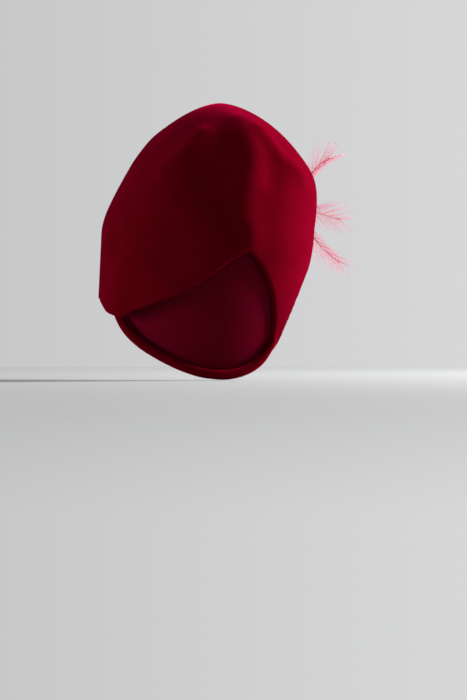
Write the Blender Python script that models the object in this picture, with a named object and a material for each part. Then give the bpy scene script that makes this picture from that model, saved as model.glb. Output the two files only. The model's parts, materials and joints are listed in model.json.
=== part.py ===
"""Sculpted velour felt hat with a wrapped flap, a matte back panel, a rolled rim and a feather spray.

Units are metres.  +Z is up, the wearer faces -Y, and the wearer's right is -X.  The origin is in
the middle of the head opening.

The felt is described on a map of the crown.  A place on it is (turn, drop): turn is the angle
around the hat in degrees, 0 at the back and positive towards the wearer's right, and drop runs
from 0 at the peak to 1 at the widest level and on down the hanging wall.
"""
import math

import bmesh
import bpy
from mathutils import Matrix, Vector, geometry, kdtree

# ---- driving dimensions -------------------------------------------------------------------
PEAK_Z = 0.148                      # top of the peak
WIDEST_Z = 0.048                    # level where the crown is widest
HALF_WIDTH = 0.0795                 # crown half width at that level
PEAK_POWER = 1.24                   # 1 gives a round dome, more gives a pointed one
WALL_UNIT = 0.140                   # height of wall for one unit of drop
AXIS_XY = Vector((0.0046, 0.0200))  # crown axis at and below the widest level
PEAK_LEAN = Vector((-0.0067, -0.0074))
LEAN_TOP_Z = 0.100                  # the lean is complete here
RIM_Z = -0.060                      # lowest level of the rim
WALL_TAPER = 0.25                   # how much the right wall draws in by the rim's level
LEFT_FLARE = 0.0025

FELT = 0.0030                       # thickness of the velour felt
GAP = 0.0004                        # clearance between neighbouring pieces

PANEL_RADIUS = 0.0700
PANEL_DRAW_IN = 0.0143              # how far the panel draws in towards the nape
PANEL_BEND_Z = 0.020
PANEL_FELT = 0.0020
BUCKRAM = 0.0008
PANEL_SEAM_Z = 0.0440
PANEL_SEAM_TURNS = (-28, 60)
PANEL_STITCHES = 36
PANEL_STITCH_ENDS = ((0.0, 0.0018), (0.0016, 0.0008))   # rise and lift of a stitch's two ends

RIM_ROLL_RADIUS = 0.0036
RIM_CHANNEL_RADIUS = 0.0010
RIM_WIRE_RADIUS = 0.0006
ROLL_END_RADIUS = 0.0734            # from the crown's axis to the rim roll under the flap's corner

TACK_WAIST = 0.0006
TACK_SPREAD = 0.0005
TIP_TACK = (49, 0.0370)             # turn and height
CORNER_TACK = (-40, 0.0060)

LINING = 0.0006
LINING_EASE = 0.0012                # the lining hangs this far inside the felt
LINING_TIP_DROP = 0.44              # the tip piece of the lining reaches this far down
LINING_SEAM = 0.006
LINING_FRONT_Z = 0.0700
LINING_BACK_Z = 0.0640
LABEL_PLACE = (-8, 0.0950)
LABEL_HALF = (0.0170, 0.0065)
LABEL_THICKNESS = 0.0005

RIBBON = 0.0006
RIBBON_WIDTH = 0.015
RIBBON_SET_IN = 0.0035              # from the hat's edge to the ribbon's edge
RIBBON_SEAM_IN = 0.0022             # from the ribbon's edge to its stitches
RIBBON_STITCH = 0.0055
RIBBON_STITCH_LIFT = 0.0004
BOW_PLACE = (4, -0.0262)
BOW_HALF = (0.0130, 0.0042)
BOW_THICKNESS = 0.0012
TAB_PLACE = (-92, 0.0375)
TAB_HALF = (0.0050, 0.0070)
TAB_THICKNESS = 0.0004
THREAD_RADIUS = 0.0003

COMB_WIDTH = 0.044
COMB_SPINE = 0.0028
COMB_THICKNESS = 0.0016
COMB_TEETH = 11
COMB_TOOTH_SHARE = 0.42             # tooth width as a share of the pitch
COMB_TOOTH_LENGTH = 0.022
COMB_LEAN = -16                     # degrees from upright, following the crown's front
COMB_AXIS_Z = 0.0700
COMB_RADIUS = 0.0640
COMB_LOOP_HALF = (0.0031, 0.0022)   # half depth and half height of a thread loop
COMB_LOOP_INNER = 0.0020            # from the comb's axis to the loop's inner end
COMB_LOOP_THREAD = 0.00025

SLIVER = 0.01                       # sine of the smallest corner kept in a sheet's triangles

# ---- outlines on the crown: (turn in degrees, height in metres) ----------------------------
FLAP_EDGE = [(53, 0.0333), (47, 0.0295), (40, 0.0235), (33, 0.0162), (24.1, 0.0084),
             (16, 0.0033), (6.5, -0.0018), (-5, -0.0065), (-15.1, -0.0105), (-22.5, -0.0136),
             (-35, -0.0115), (-44, -0.0055), (-52, -0.0005)]
FAR_EDGE = [(-62, 0.0040), (-90, 0.0160), (-120, 0.0380), (-150, 0.0530), (-180, 0.0580),
            (-210, 0.0560), (-232, 0.0490)]
FRONT_EDGE = [(-243, 0.0360), (-250, 0.0250), (-255.3, 0.0177), (-262.8, 0.0047),
              (-268.9, -0.0095), (-273.5, -0.0208), (-277.7, -0.0320)]
BAND_END = [(-281.6, -0.0400), (-286.3, -0.0384)]
WRAP_EDGE = [(-285.2, -0.0355), (-284.0, -0.0292), (-283.9, -0.0194), (-285.8, -0.0083),
             (-288.3, 0.0013), (-291.4, 0.0096), (-295.4, 0.0178), (-300.7, 0.0266),
             (-304.1, 0.0307)]
RIM_LINE = [(72.9, -0.0389, 0.0652), (65.3, -0.0473, 0.0632), (55.3, -0.0530, 0.0617),
            (42.8, -0.0556, 0.0611), (27.9, -0.0542, 0.0614), (15.5, -0.0502, 0.0624),
            (4.2, -0.0448, 0.0638), (-5, -0.0395, 0.0655), (-16.4, -0.0321, 0.0675),
            (-27.5, -0.0221, 0.0700), (-35.8, -0.0100, 0.0718), (-40.5, 0.0030, 0.0730),
            (-43, 0.0150, 0.0738)]
PANEL_EDGE = [(-42, 0.0040), (-43, -0.0110), (-34.8, -0.0220), (-21, -0.0321), (-8.1, -0.0395),
              (2.1, -0.0449), (14.4, -0.0502), (27.7, -0.0543), (43.7, -0.0556), (57.3, -0.0531),
              (68.4, -0.0474), (76.8, -0.0389), (81.8, -0.0290), (84.5, -0.0180), (86, -0.0050),
              (86, 0.0120), (80, 0.0350), (60, 0.0500), (20, 0.0520), (-20, 0.0500),
              (-40, 0.0420), (-44, 0.0220)]

# Soft modelling of the crown: places it passes, height above the plain surface, half width.
RELIEF = {
    "centre ridge": ([(70, 0.143), (51, 0.112), (52, 0.088), (56, 0.062), (55, 0.038)],
                     0.0022, 0.012),
    "left ridge": ([(17, 0.140), (7, 0.112), (-9, 0.097)], 0.0018, 0.010),
    "right ridge": ([(71, 0.135), (73, 0.107), (90, 0.088)], 0.0020, 0.010),
    "left hollow": ([(30, 0.095)], -0.0028, 0.022),
    "right hollow": ([(66, 0.082)], -0.0018, 0.014),
    "flap hollow": ([(15, 0.040)], -0.0020, 0.024),
    "tip dimple": ([(45, 0.047)], -0.0022, 0.009),
    "left shoulder": ([(-50, 0.100), (-72, 0.090)], 0.0017, 0.022),
    "right shoulder": ([(118, 0.085), (122, 0.066)], 0.0014, 0.018),
    "front hollow": ([(-150, 0.098)], -0.0025, 0.026),
    "side ridge": ([(-70, 0.120), (-95, 0.085)], 0.0018, 0.014),
}

# Plumes: (turn, height, lift from the crown) of the root, the bend and the tip.
PLUMES = {
    "upper": ((151.5, 0.0765, 0.0033), (152, 0.0960, 0.0110), (140, 0.0980, 0.0250)),
    "middle": ((154, 0.0730, 0.0033), (161, 0.0725, 0.0130), (143, 0.0650, 0.0300)),
    "lower": ((151.5, 0.0695, 0.0033), (152, 0.0480, 0.0110), (143, 0.0330, 0.0310)),
}
PLUME_STEPS = 12
QUILL_ROOT_RADIUS = 0.0009
QUILL_TIP_RADIUS = 0.0003
PLUME_START = 0.28                  # share of the quill below the first barbs
PLUME_HALF_WIDTH = 0.0085
PLUME_THICKNESS = 0.0014
PLUME_HINGE = (151, 0.0730, 0.0033)
PAD_PLACE = (151, 0.0730)
PAD_HALF = (0.0130, 0.0100)
PAD_FELT = 0.0016
KNOT_HALF = (0.0052, 0.0048)
KNOT_EASE = 0.0014                  # room under the knot for the quills to rise

COLOURS = {                         # linear colour, roughness, metallic
    "velour": ((0.150, 0.001, 0.008), 0.85, 0.0),
    "panel": ((0.120, 0.002, 0.012), 0.95, 0.0),
    "buckram": ((0.45, 0.40, 0.32), 0.90, 0.0),
    "wire": ((0.35, 0.35, 0.36), 0.40, 1.0),
    "thread": ((0.110, 0.002, 0.010), 0.80, 0.0),
    "ribbon": ((0.060, 0.003, 0.010), 0.60, 0.0),
    "lining": ((0.160, 0.010, 0.025), 0.40, 0.0),
    "label": ((0.70, 0.64, 0.52), 0.60, 0.0),
    "quill": ((0.420, 0.050, 0.100), 0.50, 0.0),
    "plume": ((0.480, 0.030, 0.100), 0.80, 0.0),
    "comb": ((0.060, 0.018, 0.006), 0.25, 0.0),
}


# ---- small helpers --------------------------------------------------------------------------
def smooth(value, low, high):
    """0 below low, 1 above high and an even S between."""
    share = min(1.0, max(0.0, (value - low) / (high - low)))
    return share * share * (3 - 2 * share)


def clear_scene():
    for item in list(bpy.data.objects):
        bpy.data.objects.remove(item, do_unlink=True)


def material(name):
    found = bpy.data.materials.get(name)
    if found:
        return found
    colour, roughness, metallic = COLOURS[name]
    made = bpy.data.materials.new(name)
    made.use_nodes = True
    shader = made.node_tree.nodes["Principled BSDF"]
    shader.inputs["Base Color"].default_value = (*colour, 1.0)
    shader.inputs["Roughness"].default_value = roughness
    shader.inputs["Metallic"].default_value = metallic
    return made


def add_object(name, points, faces, finish, origin=(0, 0, 0)):
    """One closed body, its faces turned outwards, with its origin at the given point."""
    origin = Vector(origin)
    mesh = bpy.data.meshes.new(name)
    mesh.from_pydata([tuple(Vector(p) - origin) for p in points], [], faces)
    work = bmesh.new()
    work.from_mesh(mesh)
    bmesh.ops.triangulate(work, faces=work.faces)
    bmesh.ops.recalc_face_normals(work, faces=work.faces)
    if work.calc_volume(signed=True) < 0:
        bmesh.ops.reverse_faces(work, faces=work.faces)
    work.to_mesh(mesh)
    work.free()
    mesh.shade_smooth()
    mesh.set_sharp_from_angle(angle=math.radians(50))
    mesh.materials.append(material(finish))
    made = bpy.data.objects.new(name, mesh)
    made.location = origin
    bpy.context.scene.collection.objects.link(made)
    return made


# ---- the crown's surface --------------------------------------------------------------------
def level(drop):
    """Half width and height of the plain crown at a drop from the peak."""
    if drop > 1:
        return HALF_WIDTH, WIDEST_Z - (drop - 1) * WALL_UNIT
    angle = drop * math.pi / 2
    half_width = HALF_WIDTH * math.sin(angle) ** PEAK_POWER
    return half_width, WIDEST_Z + (PEAK_Z - WIDEST_Z) * math.cos(angle)


def drop_at(height):
    if height < WIDEST_Z:
        return 1 + (WIDEST_Z - height) / WALL_UNIT
    share = (height - WIDEST_Z) / (PEAK_Z - WIDEST_Z)
    return math.acos(min(1.0, share)) / (math.pi / 2)


def outwards(turn):
    angle = math.radians(turn)
    return Vector((-math.sin(angle), math.cos(angle)))


def wrapped(turn):
    return (turn + 180) % 360 - 180


def at_radius(turn, height, radius):
    lean = PEAK_LEAN * smooth(height, WIDEST_Z, LEAN_TOP_Z)
    spot = AXIS_XY + lean + outwards(turn) * radius
    return Vector((spot.x, spot.y, height))


def plain_crown(turn, drop):
    radius, height = level(drop)
    if height < WIDEST_Z:
        fall = (WIDEST_Z - height) / (WIDEST_Z - RIM_Z)
        side = wrapped(turn)
        drawn = smooth(side, 40, 65) * WALL_TAPER * fall ** 1.5
        on_left = smooth(side, -110, -80) * (1 - smooth(side, -30, 0))
        radius = radius * (1 - drawn) + on_left * LEFT_FLARE * min(1.0, 2 * fall)
    return at_radius(turn, height, radius)


def normal_of(surface, turn, drop):
    """Outward direction of a (turn, drop) surface."""
    if drop < 0.01:
        return Vector((0, 0, 1))
    around = surface(turn + 0.5, drop) - surface(turn - 0.5, drop)
    down = surface(turn, drop + 0.004) - surface(turn, drop - 0.004)
    return around.cross(down).normalized() * -1


def relief(place):
    """Height of the soft modelling above the plain crown at a point on it."""
    total = 0.0
    for line, height, half_width in RELIEF_LINES:
        nearest = min((place - spot).length for spot in line)
        total += height * math.exp(-(nearest / half_width) ** 2)
    return total


def relief_lines():
    lines = []
    for line, height, half_width in RELIEF.values():
        spots = [plain_crown(turn, drop_at(high)) for turn, high in line]
        dense = [spots[0]]
        for start, end in zip(spots, spots[1:]):
            steps = max(1, round((end - start).length / 0.003))
            dense += [start.lerp(end, (i + 1) / steps) for i in range(steps)]
        lines.append((dense, height, half_width))
    return lines


RELIEF_LINES = relief_lines()


def crown(turn, drop, depth=0.0):
    """Point on the modelled crown, or depth below its outside."""
    place = plain_crown(turn, drop)
    return place + normal_of(plain_crown, turn, drop) * (relief(place) - depth)


def panel_radius(height):
    fall = max(0.0, (PANEL_BEND_Z - height) / (PANEL_BEND_Z - RIM_Z))
    return PANEL_RADIUS - PANEL_DRAW_IN * fall ** 1.5


def plain_panel(turn, drop):
    height = level(drop)[1]
    return at_radius(turn, height, panel_radius(height))


def panel(turn, drop, depth=0.0):
    return plain_panel(turn, drop) - normal_of(plain_panel, turn, drop) * depth


def inside(turn, drop, depth=0.0):
    """Point a depth within the hat's inside face: the buckram behind the panel, else the felt."""
    felt_side = crown(turn, drop, FELT + depth)
    side = wrapped(turn)
    behind_panel = smooth(side, -58, -45) * (1 - smooth(side, 86, 100))
    behind_panel *= 1 - smooth(level(drop)[1], 0.052, 0.064)
    panel_side = panel(turn, drop, PANEL_FELT + GAP + BUCKRAM + depth)
    return felt_side.lerp(panel_side, behind_panel)


# ---- sheets on a surface --------------------------------------------------------------------
def on_map(turn, drop):
    return outwards(turn) * drop


def off_map(spot):
    return math.degrees(math.atan2(-spot[0], spot[1])), math.hypot(spot[0], spot[1])


def curve_through(points, per_span, closed=False):
    """Catmull-Rom curve through points of any dimension."""
    points = [Vector(p) for p in points]
    count = len(points)
    spans = count if closed else count - 1

    def pick(index):
        return points[index % count] if closed else points[min(count - 1, max(0, index))]

    result = []
    for i in range(spans):
        before, start, end, after = pick(i - 1), pick(i), pick(i + 1), pick(i + 2)
        for step in range(per_span):
            t = step / per_span
            result.append(0.5 * (2 * start + (end - before) * t
                                 + (2 * before - 5 * start + 4 * end - after) * t ** 2
                                 + (3 * start - before - 3 * end + after) * t ** 3))
    if not closed:
        result.append(points[-1])
    return result


def spaced(loop, spacing):
    """A closed map loop, thinned or filled to even spacing on the crown."""
    places = [crown_spot(spot) for spot in loop]
    lengths = [0.0]
    for start, end in zip(places, places[1:] + places[:1]):
        lengths.append(lengths[-1] + (end - start).length)
    count = max(8, round(lengths[-1] / spacing))
    result, index = [], 0
    for i in range(count):
        target = lengths[-1] * i / count
        while lengths[index + 1] < target:
            index += 1
        share = (target - lengths[index]) / max(1e-9, lengths[index + 1] - lengths[index])
        start, end = loop[index], loop[(index + 1) % len(loop)]
        result.append((Vector(start) + (Vector(end) - Vector(start)) * share).to_2d())
    return result


def crown_spot(spot):
    return plain_crown(*off_map(spot))


def is_inside(spot, loop):
    hit = False
    for start, end in zip(loop, loop[1:] + loop[:1]):
        if (start[1] > spot[1]) != (end[1] > spot[1]):
            cross = start[0] + (spot[1] - start[1]) / (end[1] - start[1]) * (end[0] - start[0])
            hit ^= cross > spot[0]
    return hit


def fill(loops, spacing):
    """Triangles over the map area inside the first loop and outside the others."""
    edges, spots = [], []
    for loop in loops:
        start = len(spots)
        spots += loop
        edges += [(start + i, start + (i + 1) % len(loop)) for i in range(len(loop))]
    tree = kdtree.KDTree(len(spots))
    for i, spot in enumerate(spots):
        tree.insert(crown_spot(spot), i)
    tree.balance()

    def wanted(spot):
        return is_inside(spot, loops[0]) and not any(is_inside(spot, hole) for hole in loops[1:])

    far_drop = max(spot.length for spot in spots)
    rings = math.ceil(far_drop * WALL_UNIT / spacing)
    candidates = [Vector((0.0, 0.0))]
    for ring in range(1, rings):
        drop = far_drop * ring / rings
        around = max(6, round(2 * math.pi * level(drop)[0] / spacing))
        candidates += [on_map(360 * (i + 0.5 * (ring % 2)) / around, drop) for i in range(around)]
    for spot in candidates:
        if wanted(spot) and tree.find(crown_spot(spot))[2] > 0.55 * spacing:
            spots = spots + [spot]
    found = geometry.delaunay_2d_cdt(spots, edges, [], 0, 1e-7)
    places, triangles = found[0], found[2]
    kept = []
    for corners in triangles:
        a, b, c = (places[i] for i in corners)
        is_sliver = abs((b - a).cross(c - a)) < SLIVER * (b - a).length * (c - a).length
        if wanted((a + b + c) / 3) and not is_sliver:
            kept.append(tuple(corners))
    return places, kept


def sheet(name, surface, loops, depth, thickness, spacing, finish):
    """A closed sheet: outside at depth below the surface, inside a thickness further."""
    spots, triangles = fill([spaced(loop, spacing) for loop in loops], spacing)
    used = sorted({i for corners in triangles for i in corners})
    order = {old: new for new, old in enumerate(used)}
    triangles = [tuple(order[i] for i in corners) for corners in triangles]
    places = [off_map(spots[i]) for i in used]
    count = len(places)
    points = [surface(turn, drop, depth) for turn, drop in places]
    points += [surface(turn, drop, depth + thickness) for turn, drop in places]
    faces = list(triangles)
    faces += [tuple(i + count for i in reversed(corners)) for corners in triangles]
    sides = {}
    for a, b, c in triangles:
        for edge in ((a, b), (b, c), (c, a)):
            sides[edge] = True
    faces += [(b, a, a + count, b + count) for a, b in sides if (b, a) not in sides]
    return add_object(name, points, faces, finish)


def loop_of(points, per_span=4):
    """A smooth closed map loop through (turn, height) points."""
    spots = [on_map(turn, drop_at(height)) for turn, height in points]
    return curve_through(spots, per_span, closed=True)


def crown_outline():
    """The felt's whole edge: flap, far side, front edge, band end and wrap, with a sharp tip."""
    around = FLAP_EDGE + FAR_EDGE + FRONT_EDGE + BAND_END + WRAP_EDGE
    around += [(FLAP_EDGE[0][0] - 360, FLAP_EDGE[0][1])]
    return curve_through([on_map(turn, drop_at(height)) for turn, height in around], 4)[:-1]


def opening_line():
    """The head opening's edge: along the felt, and along the rim where the panel is."""
    along_rim = [(turn, height + RIM_ROLL_RADIUS) for turn, height, _ in RIM_LINE[1:10]]
    left = [(-46, -0.0040)] + FLAP_EDGE[-1:] + FAR_EDGE
    front = [(turn, height) for turn, height in FRONT_EDGE[:-1]]
    return [(turn, height) for turn, height in left + front] + [(t - 360, h) for t, h in along_rim]


def set_in(line, distance):
    """Move a closed (turn, height) line into the hat by a distance along the surface."""
    flat = [Vector((math.radians(turn) * HALF_WIDTH, height)) for turn, height in line]
    turn_once = Vector((math.radians(360) * HALF_WIDTH, 0))
    moved = []
    for i, spot in enumerate(flat):
        before = flat[i - 1] if i else flat[-1] + turn_once
        after = flat[i + 1] if i + 1 < len(flat) else flat[0] - turn_once
        along = (after - before).normalized()
        inward = Vector((along.y, -along.x))
        place = spot + inward * distance
        moved.append((math.degrees(place.x / HALF_WIDTH), place.y))
    return moved


def oval(angle):
    return 1.0


def square(angle):
    return 1 / max(abs(math.cos(angle)), abs(math.sin(angle)))


def bow_tie(angle):
    return 0.35 + 0.65 * abs(math.cos(angle)) ** 0.5


def patch_loop(turn, height, half_across, half_high, shape, count=20):
    """A small outline centred on a place: shape(angle) scales an ellipse."""
    loop = []
    for i in range(count):
        angle = 2 * math.pi * i / count
        scale = shape(angle)
        across = half_across * scale * math.cos(angle)
        high = half_high * scale * math.sin(angle)
        radius = level(drop_at(height))[0]
        loop.append((turn + math.degrees(across / radius), height + high))
    return [on_map(t, drop_at(h)) for t, h in loop]


# ---- swept pieces ---------------------------------------------------------------------------
def sweep(name, path, ring_radii, sides, finish, side_hint, closed=False, origin=(0, 0, 0)):
    """Round section swept along a path.  ring_radii(share) gives the outer and inner radius."""
    count = len(path)
    points, hollow = [], ring_radii(0.0)[1] > 0
    for layer in (0, 1) if hollow else (0,):
        for i, place in enumerate(path):
            before = path[i - 1] if i or closed else path[i]
            after = path[(i + 1) % count] if i + 1 < count or closed else path[i]
            along = (after - before).normalized()
            across = along.cross(side_hint(place)).normalized()
            up = across.cross(along)
            radius = ring_radii(i / max(1, count - 1))[layer]
            for k in range(sides):
                angle = 2 * math.pi * k / sides
                points.append(place + (across * math.cos(angle) + up * math.sin(angle)) * radius)
    faces = []
    for layer in (0, 1) if hollow else (0,):
        base = layer * count * sides
        for i in range(count if closed else count - 1):
            here, there = base + i * sides, base + ((i + 1) % count) * sides
            for k in range(sides):
                m = (k + 1) % sides
                quad = (here + k, here + m, there + m, there + k)
                faces.append(quad if layer == 0 else quad[::-1])
    if not closed:
        for end in (0, count - 1):
            ring = [end * sides + k for k in range(sides)]
            if hollow:
                inner = [count * sides + i for i in ring]
                for k in range(sides):
                    m = (k + 1) % sides
                    faces.append((ring[m], ring[k], inner[k], inner[m]))
            else:
                faces.append(ring)
    return add_object(name, points, faces, finish, origin)


def from_axis(place):
    """Direction from the crown's axis out to a place, for steadying a swept section."""
    return Vector((place.x - AXIS_XY.x, place.y - AXIS_XY.y, 0.0)).normalized()


def even_radius(radius, inner=0.0):
    return lambda share: (radius, inner)


# ---- the pieces -----------------------------------------------------------------------------
def make_felt():
    sheet("crown_felt", crown, [crown_outline()], 0.0, FELT, 0.0078, "velour")


def make_back_panel():
    outline = loop_of(PANEL_EDGE, 3)
    sheet("back_panel", panel, [outline], 0.0, PANEL_FELT, 0.009, "panel")
    small = [spot * 0.995 for spot in outline]
    sheet("panel_buckram", panel, [small], PANEL_FELT + GAP, BUCKRAM, 0.012, "buckram")
    first, last = PANEL_SEAM_TURNS
    path = []
    for i in range(PANEL_STITCHES + 1):
        turn = first + (last - first) * i / PANEL_STITCHES
        rise, lift = PANEL_STITCH_ENDS[i % 2]
        path.append(panel(turn, drop_at(PANEL_SEAM_Z + rise), -lift))
    sweep("panel_stitching", path, even_radius(THREAD_RADIUS), 5, "thread", from_axis)


def make_rim():
    path = [at_radius(*place) for place in curve_through(RIM_LINE, 4)]
    sweep("rim_roll", path, even_radius(RIM_ROLL_RADIUS, RIM_CHANNEL_RADIUS), 10, "velour", from_axis)
    sweep("rim_wire", path, even_radius(RIM_WIRE_RADIUS), 6, "wire", from_axis)


def waisted(share):
    """Radii along a tack: waisted, and solid."""
    return TACK_WAIST + TACK_SPREAD * (2 * share - 1) ** 2, 0.0


def tack(name, turn, height, inner_radius, short_by):
    """Turns of thread drawn tight from a radius out to the felt, as one short waisted bar."""
    felt_place = crown(turn, drop_at(height), FELT)
    start = at_radius(turn, height, inner_radius)
    end = at_radius(turn, height, (felt_place - at_radius(turn, height, 0.0)).length - short_by)
    path = [start.lerp(end, i / 6) for i in range(7)]
    sweep(name, path, waisted, 8, "thread", lambda place: Vector((0, 0, 1)))


def make_tacks():
    tack("tip_tack", *TIP_TACK, panel_radius(TIP_TACK[1]) + GAP, 3 * GAP)
    on_roll = ROLL_END_RADIUS + RIM_ROLL_RADIUS + GAP
    tack("corner_tack", *CORNER_TACK, on_roll, GAP)


def make_ribbon():
    edge = opening_line()
    low = set_in(edge, RIBBON_SET_IN)
    high = set_in(edge, RIBBON_SET_IN + RIBBON_WIDTH)
    outer, inner = loop_of(low, 3), loop_of(high, 3)
    depth = LINING_EASE + LINING + LINING_EASE
    sheet("head_ribbon", inside, [outer, inner], depth, RIBBON, 0.007, "ribbon")
    line = loop_of(set_in(edge, RIBBON_SET_IN + RIBBON_SEAM_IN), 3)
    path = []
    for i, spot in enumerate(spaced(line, RIBBON_STITCH)):
        lift = GAP + THREAD_RADIUS + RIBBON_STITCH_LIFT * (i % 2)
        path.append(inside(*off_map(spot), depth + RIBBON + lift))
    sweep("ribbon_stitching", path, even_radius(THREAD_RADIUS), 5, "thread", from_axis, closed=True)
    on_ribbon = depth + RIBBON + GAP
    bow = patch_loop(*BOW_PLACE, *BOW_HALF, bow_tie, 28)
    sheet("ribbon_bow", inside, [bow], on_ribbon, BOW_THICKNESS, 0.0024, "ribbon")
    tab = patch_loop(*TAB_PLACE, *TAB_HALF, square, 16)
    sheet("size_tab", inside, [tab], on_ribbon, TAB_THICKNESS, 0.0030, "label")


def make_lining():
    around = range(180, -180, -15)
    low = [(turn, LINING_FRONT_Z if abs(turn) > 110 else LINING_BACK_Z) for turn in around]
    seam = [on_map(turn, LINING_TIP_DROP + LINING_SEAM) for turn in range(180, -180, -10)]
    sheet("lining_side", inside, [loop_of(low, 2), seam], LINING_EASE, LINING, 0.009, "lining")
    tip = [on_map(turn, LINING_TIP_DROP) for turn in range(180, -180, -10)]
    sheet("lining_tip", inside, [tip], LINING_EASE, LINING, 0.009, "lining")
    label = patch_loop(*LABEL_PLACE, *LABEL_HALF, square, 24)
    on_lining = LINING_EASE + LINING + 2 * GAP
    sheet("maker_label", inside, [label], on_lining, LABEL_THICKNESS, 0.005, "label")


def crown_place(turn, height, lift):
    return crown(turn, drop_at(height), -lift)


def plume_path(name, steps):
    root, bend, tip = (crown_place(*spot) for spot in PLUMES[name])
    path = []
    for i in range(steps + 1):
        t = i / steps
        path.append(root * (1 - t) ** 2 + bend * 2 * t * (1 - t) + tip * t ** 2)
    return path


def plume_half_width(share):
    """Half width of a plume along its length, from its first barbs to its tip."""
    swell = math.sin(math.pi * min(1.0, share * 1.05) ** 0.8)
    return PLUME_HALF_WIDTH * (0.25 + 0.75 * swell) + GAP


def quill_radii(share):
    return QUILL_ROOT_RADIUS + (QUILL_TIP_RADIUS - QUILL_ROOT_RADIUS) * share, 0.0


def make_quill(name, path, hinge):
    outward = from_axis(path[0])
    sweep("quill_" + name, path, quill_radii, 6, "quill",
          lambda place: outward.cross(Vector((0.3, 0.2, 1))), origin=hinge)


def make_plume(name, path, hinge):
    """The barbs of one feather, lying on its quill, as a leaf-shaped blade."""
    steps = len(path) - 1
    first = round(steps * PLUME_START)
    points, faces = [], []
    for i in range(first, steps + 1):
        along = (path[min(steps, i + 1)] - path[i - 1]).normalized()
        away = from_axis(path[i])
        thick = (away - along * away.dot(along)).normalized()
        wide = along.cross(thick) * plume_half_width((i - first) / (steps - first))
        middle = path[i] + thick * (QUILL_ROOT_RADIUS + 2 * GAP + PLUME_THICKNESS / 2)
        half = thick * PLUME_THICKNESS / 2
        points += [middle - wide - half, middle + wide - half]
        points += [middle + wide + half, middle - wide + half]
    rows = len(points) // 4
    for i in range(rows - 1):
        for k in range(4):
            m = (k + 1) % 4
            faces.append((4 * i + k, 4 * i + m, 4 * i + 4 + m, 4 * i + 4 + k))
    faces += [(0, 1, 2, 3), tuple(4 * rows - 4 + k for k in range(4))]
    add_object("plume_" + name, points, faces, "plume", origin=hinge)


def make_feathers():
    pad = patch_loop(*PAD_PLACE, *PAD_HALF, oval)
    sheet("feather_pad", crown, [pad], -(GAP + PAD_FELT), PAD_FELT, 0.004, "velour")
    knot = patch_loop(*PAD_PLACE, *KNOT_HALF, oval, 16)
    over_quills = PAD_FELT + 3 * GAP + 2 * QUILL_ROOT_RADIUS + KNOT_EASE
    sheet("feather_knot", crown, [knot], -(over_quills + PAD_FELT), PAD_FELT, 0.003, "velour")
    hinge = crown_place(*PLUME_HINGE)
    for name in PLUMES:
        path = plume_path(name, PLUME_STEPS)
        make_quill(name, path, hinge)
        make_plume(name, path, hinge)


def comb_outline():
    """(across, up) outline of the comb: a straight spine with tapering teeth above it."""
    half, pitch = COMB_WIDTH / 2, COMB_WIDTH / COMB_TEETH
    spine = COMB_SPINE / 2
    shoulder = COMB_TOOTH_LENGTH - 0.002
    outline = [(-half, -spine), (half, -spine)]
    for i in range(COMB_TEETH):
        right = half - pitch * (i + 0.08)
        left = right - pitch * COMB_TOOTH_SHARE
        outline += [(right, spine), (right - 0.0002, shoulder)]
        outline += [((right + left) / 2, COMB_TOOTH_LENGTH)]
        outline += [(left + 0.0002, shoulder), (left, spine)]
    return outline + [(-half, spine)]


def make_comb():
    """Flat dressing comb inside the front edge, standing up from the axis of its spine."""
    axis_place = at_radius(180, COMB_AXIS_Z, COMB_RADIUS)
    outline = comb_outline()
    lean = Matrix.Rotation(math.radians(COMB_LEAN), 4, "X")
    points = []
    for side in (-1, 1):
        points += [lean @ Vector((x, side * COMB_THICKNESS / 2, z)) + axis_place
                   for x, z in outline]
    count = len(outline)
    faces = [tuple(range(count)), tuple(range(2 * count - 1, count - 1, -1))]
    faces += [(i, (i + 1) % count, count + (i + 1) % count, count + i) for i in range(count)]
    add_object("comb", points, faces, "comb", origin=axis_place)


def make_comb_loops():
    """Two loops of thread that hold the comb's spine between its teeth and let it turn."""
    axis_place = at_radius(180, COMB_AXIS_Z, COMB_RADIUS)
    deep_half, high_half = COMB_LOOP_HALF
    for name, tooth in (("comb_loop_left", 2), ("comb_loop_right", COMB_TEETH - 3)):
        across = COMB_WIDTH / 2 - COMB_WIDTH / COMB_TEETH * (tooth + 0.75)
        ring = []
        for i in range(16):
            angle = 2 * math.pi * i / 16
            deep = COMB_LOOP_INNER - deep_half + math.cos(angle) * deep_half
            ring.append(axis_place + Vector((across, deep, math.sin(angle) * high_half)))
        sweep(name, ring, even_radius(COMB_LOOP_THREAD), 5, "thread",
              lambda place: Vector((1, 0, 0)), closed=True)


def main():
    clear_scene()
    make_felt()
    make_back_panel()
    make_rim()
    make_tacks()
    make_ribbon()
    make_lining()
    make_feathers()
    make_comb()
    make_comb_loops()


main()
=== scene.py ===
"""Looks of the sculpted velour hat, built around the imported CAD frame.  Units are metres."""
import json
import math

import bmesh
import bpy
import numpy as np
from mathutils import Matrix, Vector, geometry, kdtree

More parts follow.
